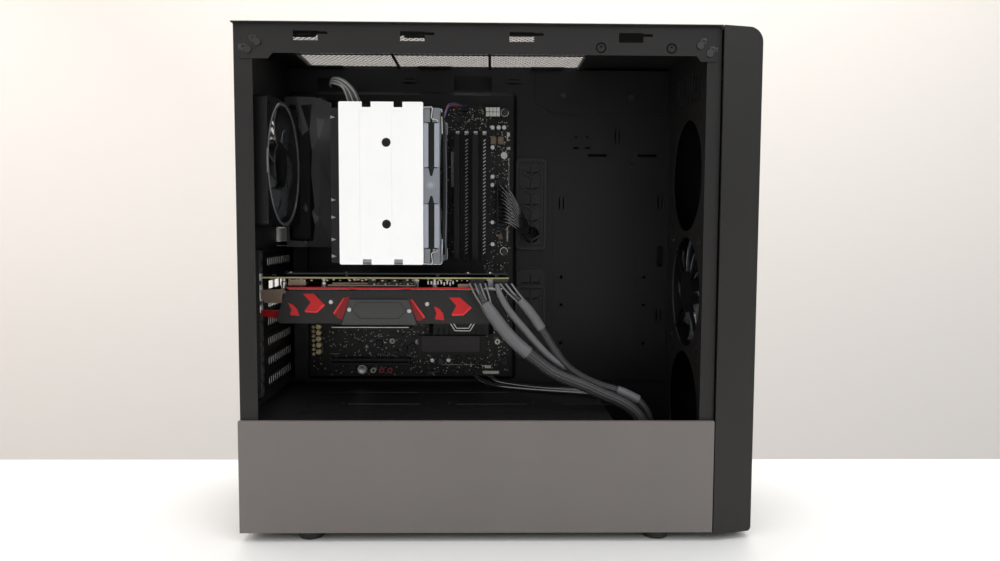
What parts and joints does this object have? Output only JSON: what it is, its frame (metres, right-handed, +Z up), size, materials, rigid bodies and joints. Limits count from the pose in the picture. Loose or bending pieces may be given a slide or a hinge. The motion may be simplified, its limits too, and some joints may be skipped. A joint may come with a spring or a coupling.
{
  "type": "desktop computer tower",
  "caption": "Desktop computer tower with its side panel off: steel chassis, motherboard, tower cooler, graphics card, power supply under a cover and a mesh front panel.",
  "frame": {"origin": "middle of the footprint at the height of the feet's undersides", "axes": "+X to the front panel, -X to the rear sockets, -Y to the open side, +Z up"},
  "size_m": [0.478, 0.209, 0.473],
  "materials": {
    "steel": "satin charcoal powder coat",
    "front_plastic": "fine grained moulding",
    "mesh": "black mesh",
    "filter": "fine net in a moulded frame",
    "rubber": "soft black rubber",
    "screw": "zinc and black screws, painted rivets",
    "brass": "bare brass",
    "bright_steel": "plated sheet steel",
    "fan_plastic": "moulded black",
    "smoke_plastic": "glossy dark smoke",
    "grey_plastic": "light blue-grey",
    "board": "black solder mask",
    "armour": "dark grey faceted moulding",
    "socket": "black connector plastic",
    "ivory": "off-white latch plastic",
    "aluminium": "bare fins",
    "copper": "nickel-plated copper",
    "white_metal": "white powder coat",
    "card_plastic": "dark grey shroud with red accents",
    "psu": "black powder coat",
    "button": "black moulding",
    "cable": "braided sleeve"
  },
  "bodies": {
    "case": {"floor_pan": "steel", "feet": "rubber", "rear_panel": "steel", "slot_covers": "steel", "front_wall": "steel", "psu_shroud_top": "steel", "shroud_side_cover": "steel", "top_frame": "steel", "motherboard_tray": "steel", "tray_bracket": "steel", "cable_grommets": "rubber", "exhaust_fan_frame": "fan_plastic", "intake_fan_frame": "fan_plastic", "motherboard_pcb": "board", "board_standoffs": "brass", "io_ports": "bright_steel", "io_shield": "bright_steel", "io_armour": "armour", "dimm_slots": "socket", "ram_sticks": "armour", "pcie_slots": "socket", "chipset_heatsink": "armour", "m2_drive": "board", "board_sockets": "socket", "fin_stack": "aluminium", "cooler_base": "copper", "cooler_cover": "white_metal", "cooler_fan_frame": "grey_plastic", "fan_clips": "bright_steel", "gpu_pcb": "board", "gpu_backplate": "psu", "gpu_bracket": "bright_steel", "gpu_heatsink": "aluminium", "gpu_shroud": "card_plastic", "gpu_badge": "card_plastic", "gpu_power_plugs": "socket", "psu_case": "psu", "case_fasteners": "screw", "board_leads": "cable", "gpu_cable_1": "cable", "gpu_cable_2": "cable"},
    "exhaust_rotor": {"exhaust_fan_rotor": "smoke_plastic"},
    "intake_rotor": {"intake_fan_rotor": "smoke_plastic"},
    "cooler_rotor": {"cooler_fan_rotor": "smoke_plastic"},
    "card_rotor_1": {"gpu_fan_rotor_1": "fan_plastic"},
    "card_rotor_2": {"gpu_fan_rotor_2": "fan_plastic"},
    "supply_rotor": {"psu_fan_rotor": "fan_plastic"},
    "supply_switch": {"psu_switch": "button"},
    "front_panel": {"front_bezel": "front_plastic", "front_mesh": "mesh", "front_io_ports": "socket"},
    "power_button": {"power_button": "button"},
    "reset_button": {"reset_button": "button"},
    "top_filter": {"top_dust_filter": "filter"},
    "bottom_filter": {"psu_dust_filter": "filter"},
    "side_panel": {"right_side_panel": "steel"},
    "latch_1": {"dimm_latch_1": "ivory"},
    "latch_2": {"dimm_latch_2": "ivory"},
    "latch_3": {"dimm_latch_3": "ivory"},
    "latch_4": {"dimm_latch_4": "ivory"}
  },
  "joints": [
    {"name": "exhaust_fan_spin", "type": "hinge", "parent": "case", "child": "exhaust_rotor", "pos_m": [-0.225, -0.0285, 0.352], "axis": [1, 0, 0], "continuous": true},
    {"name": "intake_fan_spin", "type": "hinge", "parent": "case", "child": "intake_rotor", "pos_m": [0.209, 0, 0.225], "axis": [1, 0, 0], "continuous": true},
    {"name": "cooler_fan_spin", "type": "hinge", "parent": "case", "child": "cooler_rotor", "pos_m": [-0.062, -0.0175, 0.329], "axis": [1, 0, 0], "continuous": true},
    {"name": "card_fan_1_spin", "type": "hinge", "parent": "case", "child": "card_rotor_1", "pos_m": [-0.163, -0.001, 0.205], "axis": [0, 0, 1], "continuous": true},
    {"name": "card_fan_2_spin", "type": "hinge", "parent": "case", "child": "card_rotor_2", "pos_m": [-0.047, -0.001, 0.205], "axis": [0, 0, 1], "continuous": true},
    {"name": "supply_fan_spin", "type": "hinge", "parent": "case", "child": "supply_rotor", "pos_m": [-0.162, 0, 0.025], "axis": [0, 0, 1], "continuous": true},
    {"name": "supply_switch_rock", "type": "hinge", "parent": "case", "child": "supply_switch", "pos_m": [-0.232, -0.018, 0.048], "axis": [0, 1, 0], "range_deg": [0, 10]},
    {"name": "front_panel_pull", "type": "slide", "parent": "case", "child": "front_panel", "axis": [1, 0, 0], "range_m": [0, 0.06]},
    {"name": "power_button_press", "type": "slide", "parent": "front_panel", "child": "power_button", "axis": [0, 0, -1], "range_m": [0, 0.0015], "stiffness_N_per_m": 600, "springref_m": -0.0005},
    {"name": "reset_button_press", "type": "slide", "parent": "front_panel", "child": "reset_button", "axis": [0, 0, -1], "range_m": [0, 0.0015], "stiffness_N_per_m": 400, "springref_m": -0.0005},
    {"name": "top_filter_lift", "type": "slide", "parent": "case", "child": "top_filter", "axis": [0, 0, 1], "range_m": [0, 0.06]},
    {"name": "bottom_filter_pull", "type": "slide", "parent": "case", "child": "bottom_filter", "axis": [-1, 0, 0], "range_m": [0, 0.15]},
    {"name": "side_panel_slide", "type": "slide", "parent": "case", "child": "side_panel", "axis": [-1, 0, 0], "range_m": [0, 0.445]},
    {"name": "memory_latch_1_tilt", "type": "hinge", "parent": "case", "child": "latch_1", "pos_m": [-0.0439, 0.06695, 0.3945], "axis": [-1, 0, 0], "range_deg": [0, 28]},
    {"name": "memory_latch_2_tilt", "type": "hinge", "parent": "case", "child": "latch_2", "pos_m": [-0.034, 0.06695, 0.3945], "axis": [-1, 0, 0], "range_deg": [0, 28]},
    {"name": "memory_latch_3_tilt", "type": "hinge", "parent": "case", "child": "latch_3", "pos_m": [-0.024, 0.06695, 0.3945], "axis": [-1, 0, 0], "range_deg": [0, 28]},
    {"name": "memory_latch_4_tilt", "type": "hinge", "parent": "case", "child": "latch_4", "pos_m": [-0.0142, 0.06695, 0.3945], "axis": [-1, 0, 0], "range_deg": [0, 28]}
  ]
}
